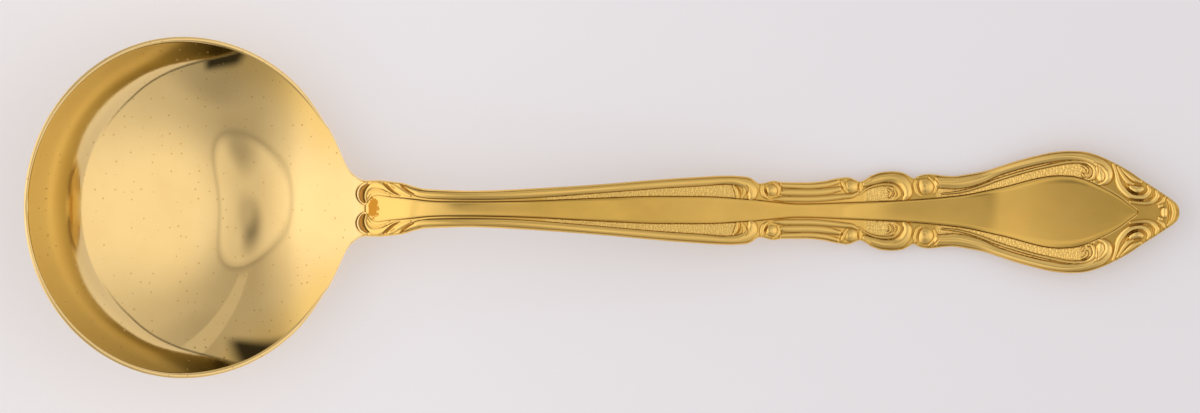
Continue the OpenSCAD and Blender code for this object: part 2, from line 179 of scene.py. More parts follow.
# Grooves are cut after the ridges: depth, share of patina and painted shade, then their places
GROOVES = [
    (0.08, 1, [(367.6, 23.8, 1.1), (362.4, 20, 2.1), (361, 14.6, 2.7), (361.6, 9.4, 2.3),
               (363.8, 6, 1.2)]),
    (0.04, 0.3, [(366.8, 13.6, 1), (369.6, 17, 1.6), (375, 18.9, 1.8), (381, 18.4, 1.6),
                 (386, 16.2, 1)]),
    (0.06, 1, [(383.6, 25, 1.2), (388.2, 20.8, 1.7), (392.9, 17, 1.5), (398, 14.2, 0.9)]),
    (0.04, 0.7, [(391, 22.8, 0.7), (394.4, 20.2, 0.8)]),
    (0.06, 1, [(399.6, 26, 1.2), (403.4, 21.6, 1.7), (408.2, 17.4, 1.4), (413, 14.8, 0.8)]),
    (0.14, 0.9, [(737, 24.4, 0.7), (740, 19.2, 1.1), (740.8, 13.4, 0.8)]),
    (0.12, 0.7, [(745.8, 25.2, 0.6), (748.4, 21.4, 0.9), (747.6, 17, 0.7)]),
    (0.14, 0.9, [(765.6, 23.8, 0.7), (765.9, 19.6, 1), (767.8, 15.6, 0.9)]),
    (0.14, 0.8, [(777, 28.8, 0.6), (781.2, 24.4, 0.9), (782.6, 19.4, 0.7)]),
    (0.12, 0.8, [(840, 28.6, 0.6), (842, 24, 0.8), (844.8, 18.4, 0.6)]),
    (0.14, 0.9, [(858.4, 31, 0.7), (859, 26, 1), (858.2, 21, 0.7)]),
    (0.12, 0.9, [(893.4, 21.4, 0.6), (894.6, 18, 0.9), (893, 14, 0.7)]),
    (0.14, 0.9, [(919.4, 29.8, 0.6), (918.6, 25.4, 1), (920.2, 20.2, 1), (923.4, 16.4, 0.7)]),
    (0.12, 0.8, [(933, 34.2, 0.6), (937.8, 30, 0.9), (940, 25, 0.7)]),
    (0.10, 0.6, [(1095, 50, 0.6), (1103, 46.6, 0.9), (1107.4, 42, 0.7)]),
    (0.14, 0.8, [(1098.2, 47.4, 0.5), (1098.8, 42, 0.8), (1098.2, 36, 0.6)]),
    (0.16, 1, [(1124, 30.6, 0.7), (1127.6, 24.6, 1.2), (1132.6, 19.6, 1.4), (1138, 18.2, 0.9)]),
    (0.12, 0.8, [(1131, 13.4, 0.9), (1137, 12.4, 1.1), (1144, 12, 0.9)]),
    (0.12, 0.8, [(1148, 12.8, 0.7), (1152.6, 15.4, 0.9), (1153.8, 20.4, 0.7)]),
    (0.12, 0.8, [(1158.8, 12.2, 0.6), (1161.4, 15.6, 0.8), (1161, 19.2, 0.6)]),
    (0.14, 0.9, [(1168, 10.4, 0.7), (1169, 6, 0.9), (1169.4, 2, 0.7)]),
]
# The most that a ridge rises, and a groove falls, for each unit of its half width
STEEPEST = 0.62
# Stretches of the sheet whose ground is grained: from, to, nearest and farthest from the centre line.
# The grain fades at their ends and sides over these widths
GRAINED = [(545, 738, 0, 30), (864, 897, 9, 26), (936, 1096, 0, 50)]
GRAIN_END = 4.0
GRAIN_SIDE = 2.0
# Relief this high is a ridge, below this it is bare ground, and so far below its neighbours a recess
RIDGE_HEIGHT = 0.25 * MM
BARE_HEIGHT = 0.08 * MM
RECESS_DEPTH = 0.025 * MM
RECESS_PASSES = 3

# Rows of the handle's skin: the place where a run starts and the step within it, in sheet units
ROW_RUNS = [(354, 0.6), (418, 5), (726, 0.52), (792, 2.2), (836, 0.52), (946, 2.2), (1076, 0.56),
            (1180, 1)]
PANEL_COLUMNS = 5
BEVEL_COLUMNS = 4
SIDE_COLUMNS = 40
EDGE_COLUMNS = 6
UNDER_COLUMNS = 5
SEAM_ROWS = 3
# Points of the bowl's skin: along each side of the rim, across the seam, and rings
RIM_POINTS = 160
OUTLINE_SAMPLES = 20 * RIM_POINTS
SEAM_POINTS = 20
INNER_RINGS = 110
LIP_RINGS = 8
OUTER_RINGS = 48

NECK_THICK = 2.2 * MM
NECK_RUN = 9 * MM
NECK_FILLET = 1.5 * MM
NECK_BEND = 0.02 / MM
NECK_BEND_RUN = 5 * MM
HEEL_RUN = 5 * MM
# The bowl's wall is a power curve whose power turns from the front's to the back's over a stretch
# measured from the bowl's widest place. It thins to the rim's edge from this share of the way out
FRONT_POWER = 3.0
BACK_POWER = 2.1
TURN_FROM = -8 * MM
TURN_TO = 16 * MM
THIN_FROM = 0.8
# The rings of the bowl's skin crowd towards the rim by this power
RING_POWER = 0.8
# Where the bowl's plate is hazed, and where it carries a painted reflection: a wall between these
# slopes, and the rim from this share of the way out, behind the widest place and off the centre line
WALL_SLOPES = (0.95, 1.45)
REFLECTED_RIM = 0.75
REFLECTED_BEHIND = (0.0, 8 * MM)
REFLECTED_BESIDE = (4 * MM, 14 * MM)
# Shares of the handle's fall that are rounded at the crest and at the foot
CREST_ROUND = 0.35
FOOT_ROUND = 0.15
# The end's turn up: its power, and the length that rounds its start
TIP_POWER = 0.6
TURN_ROUND = 2.5 * MM
# A place part way along the handle, the share of the stem's thickness there, and of the broad end's at
# the tip
MID_STEM = 0.45
MID_STEM_THICK = 0.9
TIP_THICK = 0.85
# The upper face rolls down to its edges by this power, the under face by this share of the thickness
ROLL_POWER = 6
UNDER_ROLL = 0.35
# Where the handle is narrow: the least share of it that is flat, the panel's least half width and
# largest share of the flat half, and how far in and out the bevel's edges may lie
LEAST_FLAT = 0.3
LEAST_PANEL = 0.2 * MM
MOST_PANEL = 0.75
BEVEL_LIMITS = (0.3, 0.9)
SURFACE_STEP = 0.05 * MM
SEARCH_STEP = 0.5 * MM
MERGE_DISTANCE = 0.0005 * MM
# Edges sharper than this stay sharp, in degrees
BOWL_SHARP = 40
HANDLE_SHARP = 50


def length_value(name, description, default):
    """A length that a user can change."""
    return bpy.props.FloatProperty(name=name, description=description, unit="LENGTH", default=default)


def angle_value(name, description, degrees):
    """An angle that a user can change."""
    return bpy.props.FloatProperty(
        name=name, description=description, subtype="ANGLE", default=math.radians(degrees))


def polish_value(name, description, default):
    """A roughness that a user can change, 0 for a mirror."""
    return bpy.props.FloatProperty(
        name=name, description=description, subtype="FACTOR", min=0, max=1, default=default)


def colour_value(name, description, red, green, blue):
    """A colour that a user can change."""
    return bpy.props.FloatVectorProperty(
        name=name, description=description, subtype="COLOR", size=4, default=(red, green, blue, 1))


class LadleBowlSizes(bpy.types.PropertyGroup):
    """Sizes of the bowl."""

    width: length_value("Width", "Width of the bowl across its rim", BOWL_HIGH.y - BOWL_LOW.y)
    front_reach: length_value("Front Reach", "Rim's reach forward of the widest place", 24.4 * MM)
    back_reach: length_value(
        "Back Reach", "Rim's reach from the widest place towards the handle", 25.2 * MM)
    depth: length_value("Depth", "Depth of the bowl below its rim", 11.84 * MM)
    tilt: angle_value("Tilt", "Slope of the rim towards the handle", 20.5)
    wall: length_value("Wall", "Thickness of the bowl's wall", 1.2 * MM)
    rim_edge: length_value("Rim Edge", "Thickness of the polished rim", 0.5 * MM)
    lip_round: length_value("Lip Rounding", "Height of the rim's rounded lip", 0.08 * MM)
    rest_radius: length_value("Rest Radius", "Radius of the spot worn flat under the bowl", 3 * MM)


class LadleHandleSizes(bpy.types.PropertyGroup):
    """Sizes of the handle and of its struck relief."""

    crest_height: length_value("Crest Height", "Height of the crest above the table", 12 * MM)
    tip_rise: length_value("Tip Rise", "How far the tip turns up beyond the foot", 2.5 * MM)
    stem_thick: length_value("Stem Thickness", "Thickness of the stem", 2.8 * MM)
    grip_thick: length_value("Grip Thickness", "Thickness of the broad end", 2 * MM)
    edge_round: length_value("Edge Rounding", "Bulge of the handle's side edges", 0.35 * MM)
    edge_roll: length_value("Edge Roll", "Drop of the upper face towards its edges", 0.2 * MM)
    panel_rise: length_value("Panel Rise", "Height of the centre panel above the ground", 0.22 * MM)


class LadleFinish(bpy.types.PropertyGroup):
    """Colours and polish of the gold plate."""

    bowl_gold: colour_value("Bowl Gold", "Colour of the bowl's bright plate", 0.93, 0.662, 0.28)
    bowl_toned: colour_value(
        "Bowl Toned Gold", "Colour of the bowl's plate where it has toned", 0.90, 0.62, 0.25)
    # A painted reflection: the more saturated gold that light mirrored twice gives along the rim by the
    # neck
    rim_painted_reflection: colour_value(
        "Rim Toned Gold", "Colour of the plate along the rim beside the neck", 0.93, 0.60, 0.17)
    heel_gold: colour_value("Heel Gold", "Colour of the heel's bright plate", 0.93, 0.595, 0.163)
    handle_gold: colour_value("Handle Gold", "Colour of the handle's worn plate", 0.92, 0.57, 0.14)
    # Also the colour of the painted shade on the flat parts of the stem and the grip
    handle_toned_and_shade: colour_value(
        "Handle Toned Gold", "Colour of the handle's plate where it has toned", 0.66, 0.41, 0.085)
    handle_orange: colour_value(
        "Handle Orange Gold", "Colour of the handle's plate where it is thin", 0.93, 0.52, 0.115)
    # Also the colour of the painted highlight on the ridges and along the panel's point, and of the
    # grained ground
    worn_and_highlight_gold: colour_value(
        "Worn Gold", "Colour of the raised relief, which is rubbed bright", 0.98, 0.648, 0.20)
    # Also the colour of the painted shade in the recesses, and of the bowl's brown specks
    patina_and_shade: colour_value("Patina", "Colour in the bottom of the struck recesses", 0.42, 0.165, 0.016)
    heat_stain: colour_value("Heat Stain", "Colour of the stain at the heel", 0.50, 0.193, 0.01)
    bowl_roughness: polish_value("Bowl Roughness", "Roughness of the bowl's polish", 0.05)
    handle_roughness: polish_value("Handle Roughness", "Roughness of the handle's polish", 0.11)


class LadleStage(bpy.types.PropertyGroup):
    """The floor, the light round it and the camera."""

    floor_colour: colour_value("Floor Colour", "Colour of the plain floor", 0.71, 0.69, 0.715)
    floor_glow: colour_value(
        "Floor Glow", "Colour by which the camera and the metal see the floor paler", 0.81, 0.775, 0.765)
    floor_lift: bpy.props.FloatProperty(
        name="Floor Lift", description="How much paler the camera and the metal see the floor",
        default=0.28)
    slant_lift: bpy.props.FloatProperty(
        name="Slant Lift", description="How many times that lift the metal sees, at a slant",
        default=2.2)
    floor_size: length_value("Floor Size", "Side of the square floor", 8)
    frame_width: length_value(
        "Frame Width", "Width of the picture at the ladle", PICTURE_WIDTH * SHEET_UNIT)
    lens: bpy.props.FloatProperty(
        name="Lens", description="Focal length of the camera, in millimetres", default=1200)
    view_height: length_value(
        "View Height", "Height above the table at which the frame's width holds", 11 * MM)
    roll: angle_value("Roll", "Turn of the camera about its line of sight", 0.29)


def ease(value):
    """A smooth step from 0 to 1."""
    t = np.clip(value, 0, 1)
    return t * t * (3 - 2 * t)


def ease_between(value, low, high):
    """A smooth step from 0 at one value to 1 at another."""
    return ease((value - low) / (high - low))


def mix(a, b, share):
    """A value between a and b."""
    return a + (b - a) * share


def smooth_max(a, b, rounding):
    """The larger of two lengths, with the corner between them rounded over a distance."""
    blend = np.maximum(rounding - np.abs(a - b), 0)
    return np.maximum(a, b) + blend * blend / (4 * rounding)


def smooth_line(stations):
    """A curve through (place, value) stations that never overshoots them, as a function."""
    places, values = np.array(stations, float).T
    spans = np.diff(places)
    secants = np.diff(values) / spans
    before, after = secants[:-1], secants[1:]
    rising = before * after > 0
    slopes = np.concatenate(([secants[0]], np.zeros(len(before)), [secants[-1]]))
    slopes[1:-1][rising] = 2 * before[rising] * after[rising] / (before[rising] + after[rising])

    def line(at):
        at = np.clip(at, places[0], places[-1])
        i = np.clip(np.searchsorted(places, at, side="right") - 1, 0, len(spans) - 1)
        t = (at - places[i]) / spans[i]
        start = values[i] * (2 * t**3 - 3 * t**2 + 1) + slopes[i] * spans[i] * (t**3 - 2 * t**2 + t)
        end = values[i + 1] * (3 * t**2 - 2 * t**3) + slopes[i + 1] * spans[i] * (t**3 - t**2)
        return start + end

    return line


def sheet_along(x):
    """Place along the sheet of a place along the ladle."""
    return SHEET_FRONT + (x - FRONT_X) / SHEET_UNIT


def ladle_x(along):
    """Place along the ladle of a place along the sheet."""
    return FRONT_X + (along - SHEET_FRONT) * SHEET_UNIT


OUTLINE_LINE = smooth_line(OUTLINE)
PANEL_LINE = smooth_line(PANEL)


class BowlShape:
    """Heights of the bowl's skins above the table, and its outline from above."""

    def __init__(self, sizes):
        self.sizes = sizes
        self.centre_x = FRONT_X + sizes.front_reach
        self.rim_slope = math.tan(sizes.tilt)
        self.rim_half = sizes.width / 2
        self.rim_height = 0
        along = np.arange(self.centre_x, HEEL_X - NECK_RUN, SEARCH_STEP)
        under = self.outside(along, 0 * along)
        self.rest_x = along[np.argmin(under)]
        spot = np.array([self.rest_x - sizes.rest_radius, self.rest_x + sizes.rest_radius])
        self.rim_height = -np.mean(self.outside(spot, 0 * spot))

    def reach_x(self, x):
        """The rim's reach on a place's side of the widest place."""
        return np.where(x < self.centre_x, self.sizes.front_reach, self.sizes.back_reach)

    def share_out(self, x, y):
        """How far out towards the inner edge of the rim a place lies, 1 on the edge."""
        edge = self.sizes.rim_edge
        return np.hypot((x - self.centre_x) / (self.reach_x(x) - edge), y / (self.rim_half - edge))

    def inside(self, x, y):
        """Height of the inner skin."""
        power = mix(FRONT_POWER, BACK_POWER, ease_between(x - self.centre_x, TURN_FROM, TURN_TO))
        hollow = self.sizes.depth * (1 - self.share_out(x, y) ** power)
        bend = NECK_BEND * np.maximum(x - SEAM_X + NECK_BEND_RUN, 0) ** 2 / 2
        return self.rim_height - self.rim_slope * (x - self.centre_x) - hollow - bend

    def steepness(self, x, y):
        """How much longer a wall measured straight down is than one measured through the skin."""
        here = self.inside(x, y)
        slope_x = (self.inside(x + SURFACE_STEP, y) - here) / SURFACE_STEP
        slope_y = (self.inside(x, y + SURFACE_STEP) - here) / SURFACE_STEP
        return np.sqrt(1 + slope_x**2 + slope_y**2)

    def neck_share(self, x):
        """How much of a place belongs to the neck."""
        return ease((x - HEEL_X + NECK_RUN) / NECK_RUN)

    def outside(self, x, y):
        """Height of the outer skin."""
        thinning = ease_between(self.share_out(x, y), THIN_FROM, 1)
        wall = mix(self.sizes.wall, self.sizes.rim_edge, thinning)
        wall = mix(wall, NECK_THICK, self.neck_share(x))
        return self.inside(x, y) - wall * self.steepness(x, y)

    def half_width(self, x):
        """Half width of the whole ladle at a place along it."""
        round_share = np.clip((x - self.centre_x) / self.reach_x(x), -1, 1)
        rim = self.rim_half * np.sqrt(1 - round_share**2)
        neck = OUTLINE_LINE(sheet_along(x)) * SHEET_UNIT
        return np.where(x < self.centre_x, rim, smooth_max(rim, neck, NECK_FILLET))


def bowl_outline(shape):
    """Evenly spaced places round the bowl: from the seam round the rim, then across the seam."""
    turn = np.linspace(0, math.pi, OUTLINE_SAMPLES)
    x = mix(SEAM_X, FRONT_X, (1 - np.cos(turn)) / 2)
    y = shape.half_width(x)
    run = np.concatenate([[0], np.cumsum(np.hypot(np.diff(x), np.diff(y)))])
    even = np.linspace(0, run[-1], RIM_POINTS + 1)
    side = np.column_stack([np.interp(even, run, x), np.interp(even, run, y)])
    seam_y = np.linspace(-side[0, 1], side[0, 1], SEAM_POINTS + 1)[1:-1]
    seam = np.column_stack([np.full(len(seam_y), SEAM_X), seam_y])
    return np.concatenate([side, side[-2::-1] * (1, -1), seam])


def bowl_places(shape, edge_round):
    """Rings of points from the middle of the bowl's inside, over the lip, to the worn spot below."""
    sizes = shape.sizes
    around = bowl_outline(shape)
    inwards = np.array([shape.centre_x, 0]) - around
    inwards /= np.linalg.norm(inwards, axis=1, keepdims=True)
    neck = ease((around[:, 0] - SEAM_X + NECK_RUN) / NECK_RUN)[:, None]
    half = np.maximum(shape.half_width(around[:, 0]), SURFACE_STEP)
    across = np.stack([0 * half, -around[:, 1] / half], -1)
    side_step = mix(inwards, across, neck)
    lip_inset = mix(sizes.rim_edge, edge_round, neck)
    inner_edge = around + side_step * lip_inset
    outer_edge = around + side_step * edge_round * neck
    middle = np.array([shape.rest_x, 0])

    rings = []
    for k in range(INNER_RINGS + 1):
        flat = mix(middle, inner_edge, (k / INNER_RINGS) ** RING_POWER)
        rings.append(np.column_stack([flat, shape.inside(flat[:, 0], flat[:, 1])]))
    outer = []
    from_middle = outer_edge - middle
    spot = middle + sizes.rest_radius * from_middle / np.linalg.norm(from_middle, axis=1, keepdims=True)
    for k in range(OUTER_RINGS, -1, -1):
        flat = mix(spot, outer_edge, (k / OUTER_RINGS) ** RING_POWER)
        height = np.maximum(shape.outside(flat[:, 0], flat[:, 1]), 0)
        outer.append(np.column_stack([flat, height if k else 0 * height]))

    inner_rim, outer_rim = rings[-1].copy(), outer[0].copy()
    lip = sizes.lip_round * (1 - neck[:, 0])
    rings[-1][:, 2] -= lip
    outer[0][:, 2] -= lip
    chord = outer[0] - rings[-1]
    chord_flat = np.linalg.norm(chord[:, :2], axis=1)
    chord_long = np.linalg.norm(chord, axis=1)
    outwards = -side_step
    bulge = mix(sizes.lip_round, edge_round, neck[:, 0])
    bulge_flat = outwards * (-chord[:, 2] / chord_long * bulge)[:, None]
    bulge_up = chord_flat / chord_long * bulge
    for k in range(1, LIP_RINGS):
        bend = math.pi * k / LIP_RINGS
        ring = rings[INNER_RINGS] + chord * (1 - math.cos(bend)) / 2
        ring[:, :2] += bulge_flat * math.sin(bend)
        ring[:, 2] += bulge_up * math.sin(bend)
        ring[:, 2] = np.minimum(ring[:, 2], np.maximum(inner_rim[:, 2], outer_rim[:, 2]))
        rings.append(np.clip(ring, BOWL_LOW, BOWL_HIGH))
    rings += outer
    rings.append(np.tile([*middle, 0], (len(around), 1)))
    return np.array(rings)


def bowl_layers(shape, places):
    """How much of each place of the inside is the steep wall, and the rim beside the neck that carries a
    painted reflection.
    """
    x, y = places[..., 0], places[..., 1]
    slope = np.sqrt(shape.steepness(x, y) ** 2 - 1)
    inner = np.arange(len(places))[:, None] < INNER_RINGS
    behind = ease_between(x - shape.centre_x, *REFLECTED_BEHIND)
    beside = ease_between(np.abs(y), *REFLECTED_BESIDE)
    rim = ease_between(shape.share_out(x, y), REFLECTED_RIM, 1) * behind * beside
    return {"wall": ease_between(slope, *WALL_SLOPES) * inner, "rim": rim * inner}


def fall(t):
    """Share of the handle's fall from crest to foot: rounded at both ends and straight between."""
    pace = 1 / (1 - (CREST_ROUND + FOOT_ROUND) / 2)
    rounding_over = pace * t**2 / (2 * CREST_ROUND)
    straight = pace * (t - CREST_ROUND / 2)
    rounding_out = 1 - pace * (1 - t) ** 2 / (2 * FOOT_ROUND)
    beyond_crest = np.where(t < 1 - FOOT_ROUND, straight, rounding_out)
    return np.where(t < CREST_ROUND, rounding_over, beyond_crest)


def turn_up(t):
    """Share of the end's rise: it turns up most at its start and levels out towards the tip."""
    return ease(t**TIP_POWER)


class HandleShape:
    """Heights of the handle's skins above the table, with the struck relief."""

    def __init__(self, bowl, sizes):
        self.bowl = bowl
        self.sizes = sizes
        heel = np.array([HEEL_X - SURFACE_STEP, HEEL_X])
        below, self.heel_height = bowl.inside(heel, 0 * heel)
        pitch = (self.heel_height - below) / SURFACE_STEP
        self.rise = sizes.crest_height - self.heel_height
        self.rise_power = pitch * (CREST_X - HEEL_X) / self.rise
        stem, grip = sizes.stem_thick, sizes.grip_thick
        self.thick_line = smooth_line([
            (0, NECK_THICK), (CREST_SHARE, stem), (MID_STEM, MID_STEM_THICK * stem),
            (FOOT_SHARE, grip), (TURN_SHARE, grip), (1, TIP_THICK * grip)])

    def line(self, x):
        """Height of the ground on the centre line: to the crest, down to the foot, up to the tip."""
        sizes = self.sizes
        to_crest = np.maximum((CREST_X - x) / (CREST_X - HEEL_X), 0)
        rising = sizes.crest_height - self.rise * to_crest**self.rise_power
        falling = mix(sizes.crest_height, sizes.grip_thick, fall((x - CREST_X) / (FOOT_X - CREST_X)))
        beyond = np.minimum(smooth_max(x - TURN_X, 0, TURN_ROUND), TIP_X - TURN_X)
        turned = turn_up(beyond / (TIP_X - TURN_X))
        turning_up = sizes.grip_thick + sizes.tip_rise * turned
        return np.where(x < CREST_X, rising, np.where(x < FOOT_X, falling, turning_up))

    def heel_fade(self, x):
        """How much of a place still follows the bowl's curve, 1 at the heel."""
        return 1 - ease((x - HEEL_X) / HEEL_RUN)

    def heel_curve(self, y):
        """The bowl's curve across the heel."""
        heel = np.full_like(y, HEEL_X)
        return self.bowl.inside(heel, y) - self.bowl.inside(heel, 0 * y)

    def ground(self, x, y):
        """The upper face without its relief."""
        fade = self.heel_fade(x)
        roll = self.sizes.edge_roll * (np.abs(y) / self.bowl.half_width(x)) ** ROLL_POWER
        return self.line(x) + self.heel_curve(y) * fade - roll * (1 - fade)

    def under(self, x, y):
        """The plain under face."""
        fade = self.heel_fade(x)
        half = self.bowl.half_width(x)
        pitch = (self.line(x + SURFACE_STEP) - self.line(x)) / SURFACE_STEP
        lean = mix(np.sqrt(1 + pitch**2), self.bowl.steepness(np.full_like(y, HEEL_X), y), fade)
        thick = self.thick_line((x - HEEL_X) / HANDLE_LENGTH)
        roll = UNDER_ROLL * (y / half) ** 2 * (1 - fade)
        return self.line(x) + self.heel_curve(y) * fade - thick * lean * (1 - roll)


def smooth_path(points, steps=6):
    """A dense path through drawn points, each (along, across, half width)."""
    points = np.array(points, float)
    padded = np.concatenate([[2 * points[0] - points[1]], points, [2 * points[-1] - points[-2]]])
    path = []
    for a, b, c, d in zip(padded, padded[1:], padded[2:], padded[3:]):
        for t in np.arange(steps) / steps:
            path.append(0.5 * (2 * b + (c - a) * t + (2 * a - 5 * b + 4 * c - d) * t**2
                               + (3 * b - a - 3 * c + d) * t**3))
    return np.array(path + [points[-1]])


def stroke_height(along, across, rise, points):
    """Height of a rounded ridge along the points, lower where it is narrow, so as not to be steep."""
    path = smooth_path(points)
    reach = path[:, 2].max()
    low, high = path[:, :2].min(0) - reach, path[:, :2].max(0) + reach
    near = (along > low[0]) & (along < high[0]) & (across > low[1]) & (across < high[1])
    place = np.stack([along[near], across[near]], -1)
    ridge = np.zeros(len(place))
    for start, end in zip(path[:-1], path[1:]):
        step = end[:2] - start[:2]
        t = np.clip((place - start[:2]) @ step / max(step @ step, 1e-9), 0, 1)
        far = np.linalg.norm(place - start[:2] - t[:, None] * step, axis=1)
        half = mix(start[2], end[2], t)
        crown = np.minimum(rise * MM, STEEPEST * half * SHEET_UNIT)
        ridge = np.maximum(ridge, crown * (1 - (far / half) ** 2))
    height = np.zeros_like(along)
    height[near] = ridge
    return height


def struck_relief(along, across, sizes):
    """Height of the relief above the ground, and how much of each place is a ridge, grained ground, a
    groove with patina and painted shade, and the painted highlight along the panel's point."""
    half = PANEL_LINE(along)
    in_panel = (along > PANEL_START) & (along < PANEL_POINT)
    crown = 1 + PANEL_CROWN * (1 - np.minimum(across / half, 1) ** 2)
    grown = mix(PANEL_LOW_START, 1, ease_between(along, PANEL_START, PANEL_GROWN))
    top = ease((half - across) / PANEL_BEVEL + 0.5)
    panel = sizes.panel_rise * crown * grown * top * in_panel
    ridges = np.zeros_like(along)
    for rise, points in RIDGES:
        ridges = np.maximum(ridges, stroke_height(along, across, rise, points))
    height = np.maximum(panel, ridges)
    bare = 1 - ease(height / BARE_HEIGHT)
    ground = np.zeros_like(along)
    for start, end, near, far in GRAINED:
        ends = ease((along - start) / GRAIN_END) * ease((end - along) / GRAIN_END)
        sides = ease((across - near) / GRAIN_SIDE) * ease((far - across) / GRAIN_SIDE)
        ground = np.maximum(ground, bare * ends * sides)
    cut = np.zeros_like(along)
    # Patina and painted shade in the grooves, by each groove's share
    shade_and_patina_share = np.zeros_like(along)
    for depth, patina_and_shade, points in GROOVES:
        stroke = stroke_height(along, across, depth, points)
        cut = np.maximum(cut, stroke)
        shade_and_patina_share = np.maximum(shade_and_patina_share, patina_and_shade * ease(stroke / (0.5 * depth * MM)))
    # A painted highlight along the panel's edge near its point, which counts as raised
    offset, width = EDGE_HIGHLIGHT_LINE
    worn_and_highlit = ease(1 - np.abs(across - half - offset) / width) * in_panel
    worn_and_highlit = worn_and_highlit * ease_between(along, *EDGE_HIGHLIGHT_FADE)
    raised = np.maximum(ease(ridges / RIDGE_HEIGHT), worn_and_highlit)
    return height - cut, {"raised": raised, "ground": ground, "recess": shade_and_patina_share, "worn_and_highlit": worn_and_highlit}


def softened(field, passes):
    """The field averaged with its neighbours a number of times."""
    for _ in range(passes):
        padded = np.pad(field, 1, mode="edge")
        field = (padded[:-2, 1:-1] + padded[2:, 1:-1] + padded[1:-1, :-2] + padded[1:-1, 2:]) / 4
    return field


def handle_rows():
    """Places along the ladle of the handle's rows, close together where the ornament is fine."""
    runs = [np.arange(start, end, step) for (start, step), (end, _) in zip(ROW_RUNS, ROW_RUNS[1:])]
    along = np.concatenate(runs)
    rows = ladle_x(along)
    return np.concatenate([[HEEL_X], rows[rows > HEEL_X + SURFACE_STEP], [TIP_X]])


def handle_places(shape, rows):
    """Rings round the handle, from the middle of its under face, and the layers of values on them."""
    sizes = shape.sizes
    half = shape.bowl.half_width(rows)
    flat_half = np.maximum(half - sizes.edge_round, LEAST_FLAT * half)
    bulge = half - flat_half
    bevel = PANEL_BEVEL * SHEET_UNIT
    panel = PANEL_LINE(sheet_along(rows)) * SHEET_UNIT
    inner = np.clip(panel, LEAST_PANEL, MOST_PANEL * flat_half)
    least, most = BEVEL_LIMITS
    low = np.maximum(inner - 0.5 * bevel, least * inner)
    high = np.minimum(inner + 0.5 * bevel, most * flat_half)
    stretches = [
        (0 * low, low, PANEL_COLUMNS), (low, high, BEVEL_COLUMNS), (high, flat_half, SIDE_COLUMNS)]
    columns = [mix(start, end, k / count) for start, end, count in stretches for k in range(count)]
    columns = np.stack(columns + [flat_half], -1)
    top_y = np.concatenate([-columns[:, ::-1], columns[:, 1:]], -1)
    top_x = np.repeat(rows[:, None], top_y.shape[1], 1)
    height, layers = struck_relief(sheet_along(top_x), np.abs(top_y) / SHEET_UNIT, sizes)
    top_z = shape.ground(top_x, top_y) + height
    # Patina and painted shade where a place lies lower than its neighbours, none under the painted
    # highlight
    hollow = (softened(height, RECESS_PASSES) - height) / RECESS_DEPTH
    recess = np.clip(np.maximum(layers["recess"], hollow), 0, 1)
    layers["recess"] = recess * (1 - layers.pop("worn_and_highlit"))

    under_y = flat_half[:, None] * np.linspace(1, -1, 2 * UNDER_COLUMNS + 1)
    under_x = np.repeat(rows[:, None], under_y.shape[1], 1)
    under_z = shape.under(under_x, under_y)

    def edge(top, bottom, side):
        """The rounded side from the upper face to the under face."""
        bend = np.pi * np.arange(1, EDGE_COLUMNS) / EDGE_COLUMNS
        y = side * (flat_half[:, None] + bulge[:, None] * np.sin(bend))
        z = mix(top[:, None], bottom[:, None], (1 - np.cos(bend)) / 2)
        return y, z

    right_y, right_z = edge(top_z[:, -1], under_z[:, 0], 1)
    left_y, left_z = edge(top_z[:, 0], under_z[:, -1], -1)
    left_y, left_z = left_y[:, ::-1], left_z[:, ::-1]
    middle = UNDER_COLUMNS
    ring_y = np.concatenate([under_y[:, middle:], left_y, top_y, right_y, under_y[:, :middle + 1]], -1)
    ring_z = np.concatenate([under_z[:, middle:], left_z, top_z, right_z, under_z[:, :middle + 1]], -1)
    ring_x = np.repeat(rows[:, None], ring_y.shape[1], 1)
    before = middle + EDGE_COLUMNS
    after = ring_y.shape[1] - before - top_y.shape[1]
    layers = {name: np.pad(values, ((0, 0), (before, after))) for name, values in layers.items()}
    return np.stack([ring_x, ring_y, ring_z], -1), layers


def deselect_all():
    """Leaves object mode with nothing selected."""
    if bpy.context.mode != "OBJECT":
        bpy.ops.object.mode_set(mode="OBJECT")
    bpy.ops.object.select_all(action="DESELECT")


def mesh_places(mesh):
    """The mesh's points as an array."""
    places = np.empty(3 * len(mesh.vertices))
    mesh.vertices.foreach_get("co", places)
    return places.reshape(-1, 3)


def draw_skin(piece, name, places, layers, at, sharp_angle):
    """Draws a primitive's points to their places, each with its value of each layer, then merges the
    seam, closes the open ends, turns the faces outwards and smooths them."""
    piece.name = name
    piece.data.name = name
    piece.data.vertices.foreach_set("co", places[at].ravel())
    for layer, values in layers.items():
        attribute = piece.data.attributes.new(layer, "FLOAT", "POINT")
        attribute.data.foreach_set("value", values[at].astype(np.float32))
    piece.data.update()
    bpy.ops.object.mode_set(mode="EDIT")
    bpy.ops.mesh.select_all(action="SELECT")
    bpy.ops.mesh.remove_doubles(threshold=MERGE_DISTANCE)
    bpy.ops.mesh.select_all(action="SELECT")
    bpy.ops.mesh.fill_holes(sides=0)
    bpy.ops.mesh.select_all(action="SELECT")
    bpy.ops.mesh.normals_make_consistent(inside=False)
    bpy.ops.object.mode_set(mode="OBJECT")
    bpy.ops.object.shade_smooth_by_angle(angle=math.radians(sharp_angle))


def model_ball(name, places, layers):
    """A closed piece from a sphere whose rings, from pole to pole, are drawn to rings of places."""
    rings, around = places.shape[:2]
    deselect_all()
    bpy.ops.mesh.primitive_uv_sphere_add(segments=around, ring_count=rings - 1, radius=1)
    piece = bpy.context.object
    x, y, z = mesh_places(piece.data).T
    ring = np.rint(np.arccos(np.clip(z, -1, 1)) / math.pi * (rings - 1)).astype(int)
    segment = np.rint(np.arctan2(y, x) / (2 * math.pi) * around).astype(int) % around
    draw_skin(piece, name, places, layers, (ring, segment), BOWL_SHARP)
    return piece


